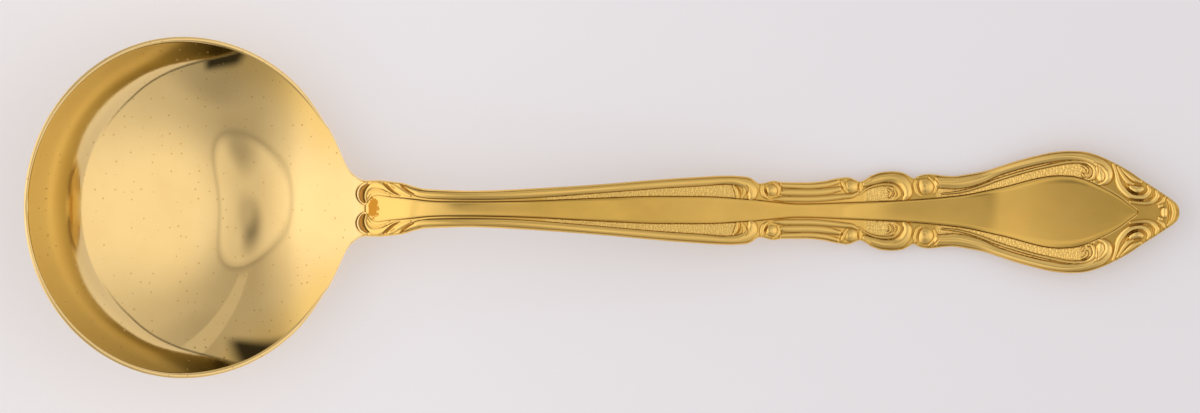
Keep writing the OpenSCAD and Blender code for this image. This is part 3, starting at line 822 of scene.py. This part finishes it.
def model_tube(name, places, layers):
    """A closed piece from a grid that is rolled into rings of places."""
    rows, columns = places.shape[:2]
    deselect_all()
    bpy.ops.mesh.primitive_grid_add(x_subdivisions=rows - 1, y_subdivisions=columns - 1, size=2)
    piece = bpy.context.object
    x, y, _ = mesh_places(piece.data).T
    row = np.rint((x + 1) / 2 * (rows - 1)).astype(int)
    column = np.rint((y + 1) / 2 * (columns - 1)).astype(int)
    draw_skin(piece, name, places, layers, (row, column), HANDLE_SHARP)
    return piece


class NodeBoard:
    """Adds nodes to a tree and joins them, one short call each."""

    def __init__(self, tree):
        self.tree = tree
        tree.nodes.clear()

    def add(self, kind, inputs, **settings):
        """A node with its settings, its inputs linked to sockets or set to values."""
        node = self.tree.nodes.new(kind)
        for key, value in settings.items():
            setattr(node, key, value)
        for key, value in inputs.items():
            if isinstance(value, bpy.types.NodeSocket):
                self.tree.links.new(value, node.inputs[key])
            else:
                node.inputs[key].default_value = value
        return node

    def math(self, operation, *values):
        return self.add("ShaderNodeMath", dict(enumerate(values)), operation=operation).outputs[0]

    def more(self, value, layer, share):
        """The value with a share of a layer added."""
        return self.math("MULTIPLY_ADD", layer, share, value)

    def apart(self, a, b):
        """How far apart two values are."""
        return self.math("ABSOLUTE", self.math("SUBTRACT", a, b))

    def step(self, value, low, high, start=0.0, end=1.0):
        inputs = {"Value": value, "From Min": low, "From Max": high, "To Min": start, "To Max": end}
        return self.add("ShaderNodeMapRange", inputs, interpolation_type="SMOOTHSTEP").outputs[0]

    def mix(self, share, a, b):
        inputs = {0: share, 6: a, 7: b}
        return self.add("ShaderNodeMix", inputs, data_type="RGBA").outputs[2]

    def tint(self, colour, other, layer, share):
        """The colour, turned to another by a share of a layer."""
        return self.mix(self.math("MULTIPLY", layer, share), colour, other)

    def place(self, stretch=(1, 1, 1), shift=(0, 0, 0)):
        """The piece's own coordinates, shifted and stretched."""
        start = self.add("ShaderNodeTexCoord", {}).outputs["Object"]
        inputs = {"Vector": start, "Location": shift, "Scale": stretch}
        return self.add("ShaderNodeMapping", inputs).outputs[0]

    def noise(self, place, scale, detail=2.0, roughness=0.5):
        inputs = {"Vector": place, "Scale": scale, "Detail": detail, "Roughness": roughness}
        return self.add("ShaderNodeTexNoise", inputs).outputs[0]

    def layer(self, name):
        return self.add("ShaderNodeAttribute", {}, attribute_name=name).outputs["Fac"]

    def bump(self, height, strength, distance):
        inputs = {"Height": height, "Strength": strength, "Distance": distance}
        return self.add("ShaderNodeBump", inputs).outputs[0]

    def cells(self, place, scale):
        inputs = {"Vector": place, "Scale": scale}
        return self.add("ShaderNodeTexVoronoi", inputs, voronoi_dimensions="2D")

    def specks(self, place, scale, size, kept):
        """Sparse round specks, 1 in their middle: only a share of the cells keep theirs."""
        cells = self.cells(place, scale)
        chosen = self.add("ShaderNodeSeparateColor", {"Color": cells.outputs["Color"]})
        present = self.math("LESS_THAN", chosen.outputs[0], kept)
        width = self.math("MULTIPLY", chosen.outputs[1], size)
        spot = self.step(cells.outputs["Distance"], width, 0.0)
        return self.math("MULTIPLY", spot, present)

    def metal(self, colour, roughness, normal):
        """A metal surface joined to the material's output."""
        shader = self.add("ShaderNodeBsdfPrincipled", {
            "Base Color": colour, "Roughness": roughness, "Normal": normal, "Metallic": 1.0})
        self.add("ShaderNodeOutputMaterial", {"Surface": shader.outputs[0]})


def new_board(name):
    """A fresh material and the board that holds its nodes."""
    material = bpy.data.materials.new(name)
    material.use_nodes = True
    return material, NodeBoard(material.node_tree)


def bowl_gold(finish):
    """Bright plate, toned in soft clouds, with a painted reflection along the rim by the neck, hairline
    scratches, pits and small brown specks.
    """
    material, board = new_board("bowl_gold")
    place = board.place()
    clouds = board.step(board.noise(place, scale=90, detail=3, roughness=0.6), low=0.35, high=0.75)
    colour = board.mix(clouds, finish.bowl_gold, finish.bowl_toned)
    # Painted reflection: the rim beside the neck more saturated, as light mirrored twice in the bowl
    # shows it
    colour = board.tint(colour, finish.rim_painted_reflection, board.layer("rim"), share=0.75)
    specks = board.specks(place, scale=700, size=0.18, kept=0.55)
    colour = board.tint(colour, finish.patina_and_shade, specks, share=0.5)
    haze = board.noise(place, scale=700, detail=4, roughness=0.6)
    hazed = 0.04
    roughness = board.more(finish.bowl_roughness - hazed / 2, haze, hazed)
    roughness = board.more(roughness, specks, share=0.3)
    roughness = board.more(roughness, board.layer("wall"), share=0.04)
    hairlines = board.noise(board.place(stretch=(260, 5200, 2600)), scale=1, detail=2)
    pits = board.specks(place, scale=900, size=0.12, kept=0.25)
    scratch_height = 0.25
    height = board.math("SUBTRACT", board.math("MULTIPLY", hairlines, scratch_height), pits)
    board.metal(colour, roughness, board.bump(height, strength=0.12, distance=0.02 * MM))
    return material


# Places of the sheet between which the handle's plate changes. Painted shade darkens its flat parts up
# and down again on the stem and then further by two shares, its ridges are worn bright with a painted
# highlight by one share and then another, and its heel and neck are bright
SHADED_STEM = [(500, 550), (760, 600)]
SHADED_BEYOND = [(850, 900, 0.35), (1075, 1125, 0.6)]
RIDGE_WEAR_AND_HIGHLIGHT = (930, 1010, 0.5, 0.95)
BRIGHT_HEEL = (485, 435)
BRIGHT_NECK = (370, 356)
STAIN_PLACE = 373.2


def handle_gold(finish):
    """Plate as bright as the bowl's at the heel and toned at random beyond, with painted shade on the
    stem and the grip, orange where it is thin, worn on its ridges and brightened there by a painted
    highlight, with patina and painted shade in its recesses, and a heat stain."""
    material, board = new_board("handle_gold")
    place = board.place()
    along = board.add("ShaderNodeSeparateXYZ", {0: place}).outputs[0]

    def between(start, end, *levels):
        """A step along the handle from one place of the sheet to another."""
        return board.step(along, ladle_x(start), ladle_x(end), *levels)

    clouds = board.step(board.noise(place, scale=75, detail=4, roughness=0.6), low=0.35, high=0.7)
    colour = board.tint(finish.handle_gold, finish.handle_toned_and_shade, clouds, share=0.45)
    # Painted shade on the flat parts of the stem and more on the grip, in place of darker reflections
    toned = board.math("MULTIPLY", *[between(start, end) for start, end in SHADED_STEM])
    for start, end, share in SHADED_BEYOND:
        toned = board.more(toned, between(start, end), share)
    raised = board.layer("raised")
    most = 0.9
    flat = board.more(most, raised, -most)
    colour = board.tint(colour, finish.handle_toned_and_shade, toned, flat)
    thin = board.noise(board.place(stretch=(0.5, 1, 1)), scale=260, detail=3, roughness=0.6)
    colour = board.tint(colour, finish.handle_orange, board.step(thin, low=0.42, high=0.68), share=0.28)
    # Worn relief and a painted highlight: the ridges paler, more so on the grip
    colour = board.tint(colour, finish.worn_and_highlight_gold, raised, between(*RIDGE_WEAR_AND_HIGHLIGHT))
    colour = board.mix(between(*BRIGHT_HEEL), colour, finish.heel_gold)
    colour = board.mix(between(*BRIGHT_NECK), colour, finish.bowl_gold)
    ground = board.layer("ground")
    recess = board.layer("recess")
    colour = board.tint(colour, finish.worn_and_highlight_gold, ground, share=0.6)
    # Patina and painted shade in the recesses
    colour = board.tint(colour, finish.patina_and_shade, recess, share=0.9)
    stain_place = board.place(stretch=(1, 0.55, 0), shift=(-ladle_x(STAIN_PLACE), 0, 0))
    far = board.add("ShaderNodeVectorMath", {0: stain_place}, operation="LENGTH").outputs["Value"]
    ragged = board.more(far, board.noise(place, scale=1500, detail=4, roughness=0.6), share=1.6 * MM)
    stain = board.step(ragged, low=1.75 * MM, high=1.5 * MM)
    colour = board.tint(colour, finish.heat_stain, stain, share=0.9)
    worn = board.noise(place, scale=500, detail=4, roughness=0.6)
    hazed = 0.08
    roughness = board.more(finish.handle_roughness - hazed / 2, worn, hazed)
    roughness = board.more(roughness, ground, share=0.2)
    roughness = board.more(roughness, recess, share=0.25)
    hairlines = board.noise(board.place(stretch=(200, 4200, 2600)), scale=1, detail=3)
    scratch_height = 0.003
    grain_height = -0.13
    grains = board.math("MULTIPLY", board.cells(place, scale=3000).outputs["Distance"], ground)
    height = board.more(board.math("MULTIPLY", hairlines, scratch_height), grains, grain_height)
    board.metal(colour, roughness, board.bump(height, strength=1.0, distance=MM))
    return material


# Painted light on the floor: shares of its lift at the bowl's front and at the tip
PAINTED_LIGHT_SHARES = (1.25, 0.85)


def darker(colour, share):
    """The colour, with that share of its brightness."""
    return [share * c for c in colour[:3]] + [1]


def floor_finish(stage):
    """Plain pale paper with the faintest mottle, and painted light that makes it paler towards the bowl.
    """
    material, board = new_board("pale_floor")
    place = board.place()
    mottle = board.noise(place, scale=14, detail=3)
    colour = board.mix(mottle, stage.floor_colour, darker(stage.floor_colour, share=0.975))
    along = board.add("ShaderNodeSeparateXYZ", {0: place}).outputs[0]
    # Painted light: the floor seen paler towards the bowl's end than at the tip
    shine = board.step(along, FRONT_X, TIP_X, *[share * stage.floor_lift for share in PAINTED_LIGHT_SHARES])
    rays = board.add("ShaderNodeLightPath", {}).outputs
    in_metal = board.math("MULTIPLY", rays["Is Glossy Ray"], stage.slant_lift)
    seen = board.math("MAXIMUM", rays["Is Camera Ray"], in_metal)
    shader = board.add("ShaderNodeBsdfPrincipled", {
        "Base Color": colour, "Roughness": 0.9, "Specular IOR Level": 0.1,
        "Emission Color": stage.floor_glow, "Emission Strength": board.math("MULTIPLY", seen, shine)})
    board.add("ShaderNodeOutputMaterial", {"Surface": shader.outputs[0]})
    return material


# The tent of light over the ladle is painted on the unit disc that its dome makes seen from above.
# A patch is: middle x and y, half sizes, softness, level
TENT_LEVEL = 0.50
OPENING = (-0.055, -0.065, 0.465, 0.615, 0.05, 0.76)
SHADES = [
    (-0.04, -0.57, 0.16, 0.20, 1.6, 0.44),
    (-0.13, 0.19, 0.11, 0.20, 1.7, 0.25),
    (-0.04, 0.04, 0.13, 0.15, 1.8, 0.56),
    (0.17, -1.00, 0.36, 0.13, 1.2, 0.36),
    (0.38, 0.95, 0.30, 0.12, 1.2, 0.42),
]
# Broad lights at the two ends: where they begin and reach full level along x, how much they fade to
# the sides, level. They fade between these distances from the middle
END_LIGHTS = [(-0.20, -0.62, 0.30, 1.24), (0.0, 0.70, 0.70, 1.04)]
END_SIDES = (0.1, 0.8)
# A strip of light at one side, in degrees: azimuth at the table, lean, half width, top, level.
# Then the share of its width that is full, and its fade below the top
LIGHT_STRIP = (75, 0.48, 5.4, 53, 0.61)
STRIP_EDGE = (0.8, 4)
# Dark gaps low in the tent's sides, in degrees: azimuth, half width, top. Then as for the strip
LOW_GAPS = [(101, 13, 16), (-87, 8, 10)]
GAP_EDGE = (0.5, 6)
GAP_LEVEL = 0.03
# The opening's rim: half width, and how much of the light it keeps
OPENING_RIM = (0.10, 0.80)
# The dark line where the tent meets the table: elevation, half width, half width that is full, level.
# It begins at the sides, between these distances from the middle
TABLE_LINE = (1, 0.9, 0.2, 0.14)
TABLE_SIDES = (0.35, 0.75)
# Light of a greater ray depth than this has met the metal twice and comes past the ladle's own shade.
# Its level goes by the distance from overhead: a dim middle, a bright ring and a plain outside, each
# step as from, to and the level reached
MET_TWICE = 2.5
SHADE_MIDDLE = (0.0, -0.03)
SHADE_DIM = 0.50
SHADE_RING = (0.285, 0.395, 0.93)
SHADE_PLAIN = (0.435, 0.50, 0.75)
# How much it fades to both sides and how much more to one of them, then its step up from the end behind
# the bowl, and the dark patch overhead
SHADE_SIDES = (0.58, 0.16)
SHADE_BACK = (-0.02, 0.22, 0.25)
SHADE_DARK = (0.0, -0.01, 0.06, 0.13, 0.6, 0.03)
TENT_COLOUR = (1, 0.985, 0.99, 1)
DIM_COLOUR = (1, 1.09, 1, 1)
RING_COLOUR = (1, 1.14, 1.35, 1)


class TentBoard(NodeBoard):
    """A board for the light round the ladle, which is painted patch by patch."""

    def __init__(self, tree):
        super().__init__(tree)
        self.looking = self.add("ShaderNodeTexCoord", {}).outputs["Generated"]
        self.x, self.y, self.z = self.add("ShaderNodeSeparateXYZ", {0: self.looking}).outputs
        self.aside = self.math("ABSOLUTE", self.y)
        self.level = TENT_LEVEL

    def off_middle(self, x, y, half_x, half_y):
        """How far from the middle of a patch a place is, 1 on its edge."""
        shifted = self.add("ShaderNodeVectorMath", {0: self.looking, 1: (-x, -y, 0)}, operation="ADD")
        inputs = {0: shifted.outputs[0], 1: (1 / half_x, 1 / half_y, 0)}
        scaled = self.add("ShaderNodeVectorMath", inputs, operation="MULTIPLY").outputs[0]
        return self.add("ShaderNodeVectorMath", {0: scaled}, operation="LENGTH").outputs["Value"]

    def blend(self, share, a, b):
        return self.add("ShaderNodeMix", {0: share, 2: a, 3: b}, data_type="FLOAT").outputs[0]

    def paint(self, share, level):
        self.level = self.blend(share, self.level, level)

    def patch(self, x, y, half_x, half_y, softness):
        """How much of a place a patch covers."""
        off = self.off_middle(x, y, half_x, half_y)
        return self.step(off, 1 + softness / 2, max(1 - softness / 2, 0.0))

    def paint_lights(self):
        """The opening overhead, the shades round it and the broad lights at the ends."""
        for *patch, level in [OPENING, *SHADES]:
            self.paint(self.patch(*patch), level)
        for begin, full, fade, level in END_LIGHTS:
            beside = self.step(self.aside, *END_SIDES, 1.0, 1 - fade)
            self.paint(self.math("MULTIPLY", self.step(self.x, begin, full), beside), level)

    def paint_lines(self):
        """The strip, the low gaps, the opening's rim and the line along the table."""
        turned = self.math("DEGREES", self.math("ARCTAN2", self.y, self.x))
        raised = self.math("DEGREES", self.math("ARCSINE", self.z))

        def upright(azimuth, width, top, full, fade):
            """How much of a place an upright band covers."""
            beside = self.step(self.apart(turned, azimuth), width, full * width)
            return self.math("MULTIPLY", beside, self.step(raised, top, top - fade))

        azimuth, lean, width, top, level = LIGHT_STRIP
        leaning = self.more(azimuth, raised, lean)
        self.paint(upright(leaning, width, top, *STRIP_EDGE), level)
        for gap in LOW_GAPS:
            self.paint(upright(*gap, *GAP_EDGE), GAP_LEVEL)
        width, kept = OPENING_RIM
        off_rim = self.apart(self.off_middle(*OPENING[:4]), 1.0)
        self.level = self.math("MULTIPLY", self.level, self.step(off_rim, 0.0, width, kept, 1.0))
        elevation, width, full, level = TABLE_LINE
        line = self.step(self.apart(raised, elevation), width, full)
        self.paint(self.math("MULTIPLY", line, self.step(self.aside, *TABLE_SIDES)), level)

    def paint_own_shade(self):
        """What the metal mirrors of its own shade, and the colour of all the light."""
        off = self.off_middle(*SHADE_MIDDLE, 1, 1)
        begin, full, level = SHADE_RING
        ring = self.step(off, begin, full)
        shade = self.blend(ring, SHADE_DIM, level)
        begin, full, level = SHADE_PLAIN
        shade = self.blend(self.step(off, begin, full), shade, level)
        beside = self.math("DIVIDE", self.y, off)
        both, one = SHADE_SIDES
        faded = self.more(1.0, self.math("MULTIPLY", beside, beside), -both)
        faded = self.more(faded, beside, -one)
        begin, full, kept = SHADE_BACK
        faded = self.math("MULTIPLY", faded, self.step(self.x, begin, full, kept, 1.0))
        shade = self.math("MULTIPLY", shade, faded)
        *dark, level = SHADE_DARK
        shade = self.blend(self.patch(*dark), shade, level)
        met = self.add("ShaderNodeLightPath", {}).outputs["Ray Depth"]
        met_twice = self.math("GREATER_THAN", met, MET_TWICE)
        self.paint(met_twice, shade)
        self.colour = self.mix(met_twice, TENT_COLOUR, self.mix(ring, DIM_COLOUR, RING_COLOUR))


def studio_world(stage):
    """A soft tent of light, with a plain pale backdrop where the camera sees it."""
    world = bpy.data.worlds.new("studio_tent")
    world.use_nodes = True
    board = TentBoard(world.node_tree)
    board.paint_lights()
    board.paint_lines()
    board.paint_own_shade()
    tent = board.add("ShaderNodeBackground", {"Color": board.colour, "Strength": board.level})
    pale = darker(stage.floor_colour, share=0.95)
    backdrop = board.add("ShaderNodeBackground", {"Color": pale, "Strength": 1.0})
    camera_ray = board.add("ShaderNodeLightPath", {}).outputs["Is Camera Ray"]
    inputs = {0: camera_ray, 1: tent.outputs[0], 2: backdrop.outputs[0]}
    shown = board.add("ShaderNodeMixShader", inputs)
    board.add("ShaderNodeOutputWorld", {"Surface": shown.outputs[0]})
    bpy.context.scene.world = world


class LADLE_OT_bowl(bpy.types.Operator):
    """Model the polished bowl with its rounded lip and the spot worn flat under it"""

    bl_idname = "ladle.bowl"
    bl_label = "Bowl"

    def execute(self, context):
        scene = context.scene
        shape = BowlShape(scene.ladle_bowl)
        places = bowl_places(shape, scene.ladle_handle.edge_round)
        piece = model_ball("polished_bowl", places, bowl_layers(shape, places))
        piece.data.materials.append(bowl_gold(scene.ladle_finish))
        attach(piece, "root")
        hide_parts("bowl")
        return {"FINISHED"}


class LADLE_OT_handle(bpy.types.Operator):
    """Model the struck handle, and the thin plated seam of braze at its heel"""

    bl_idname = "ladle.handle"
    bl_label = "Handle and Seam"

    def execute(self, context):
        scene = context.scene
        shape = HandleShape(BowlShape(scene.ladle_bowl), scene.ladle_handle)
        gold = handle_gold(scene.ladle_finish)
        seam_rows = np.linspace(SEAM_X, HEEL_X, SEAM_ROWS)
        parts = [("struck_handle", handle_rows(), "handle", "gold_plate"),
                 ("plated_seam", seam_rows, "braze_seam", "braze_alloy")]
        for name, rows, node, slot in parts:
            piece = model_tube(name, *handle_places(shape, rows))
            piece.data.materials.append(gold)
            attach(piece, "root")
            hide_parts(node)
        return {"FINISHED"}


class LADLE_OT_stage(bpy.types.Operator):
    """Lay the pale floor, light it and set the camera straight above"""

    bl_idname = "ladle.stage"
    bl_label = "Stage"

    def execute(self, context):
        scene = context.scene
        stage = scene.ladle_stage
        deselect_all()
        bpy.ops.mesh.primitive_plane_add(size=stage.floor_size)
        floor = context.object
        floor.name = "floor"
        floor.data.materials.append(floor_finish(stage))
        studio_world(stage)
        along, across = PICTURE_MIDDLE
        camera_data = bpy.data.cameras.new("camera")
        camera_data.lens = stage.lens
        camera = bpy.data.objects.new("camera", camera_data)
        distance = stage.frame_width * stage.lens / camera_data.sensor_width
        camera.location = (ladle_x(along), across * SHEET_UNIT, stage.view_height + distance)
        camera.rotation_euler = (0, 0, stage.roll)
        scene.collection.objects.link(camera)
        scene.camera = camera
        scene.view_settings.view_transform = "Standard"
        return {"FINISHED"}


class LADLE_PT_panel(bpy.types.Panel):
    """The ladle's sizes, finish and steps"""

    bl_idname = "LADLE_PT_panel"
    bl_label = "Gravy Ladle"
    bl_space_type = "VIEW_3D"
    bl_region_type = "UI"
    bl_category = "Ladle"

    def draw(self, context):
        scene = context.scene
        for group in (scene.ladle_bowl, scene.ladle_handle, scene.ladle_finish, scene.ladle_stage):
            box = self.layout.box()
            for name in group.__annotations__:
                box.prop(group, name)
        for operator in (LADLE_OT_bowl, LADLE_OT_handle, LADLE_OT_stage):
            self.layout.operator(operator.bl_idname)


GROUPS = {
    "ladle_bowl": LadleBowlSizes,
    "ladle_handle": LadleHandleSizes,
    "ladle_finish": LadleFinish,
    "ladle_stage": LadleStage,
}
CLASSES = [*GROUPS.values(), LADLE_OT_bowl, LADLE_OT_handle, LADLE_OT_stage, LADLE_PT_panel]


def register():
    for kind in CLASSES:
        bpy.utils.register_class(kind)
    for name, group in GROUPS.items():
        setattr(bpy.types.Scene, name, bpy.props.PointerProperty(type=group))


def unregister():
    for name in GROUPS:
        delattr(bpy.types.Scene, name)
    for kind in reversed(CLASSES):
        bpy.utils.unregister_class(kind)


def main():
    register()
    bpy.ops.ladle.stage()
    bpy.ops.ladle.bowl()
    bpy.ops.ladle.handle()


if __name__ == "__main__":
    main()
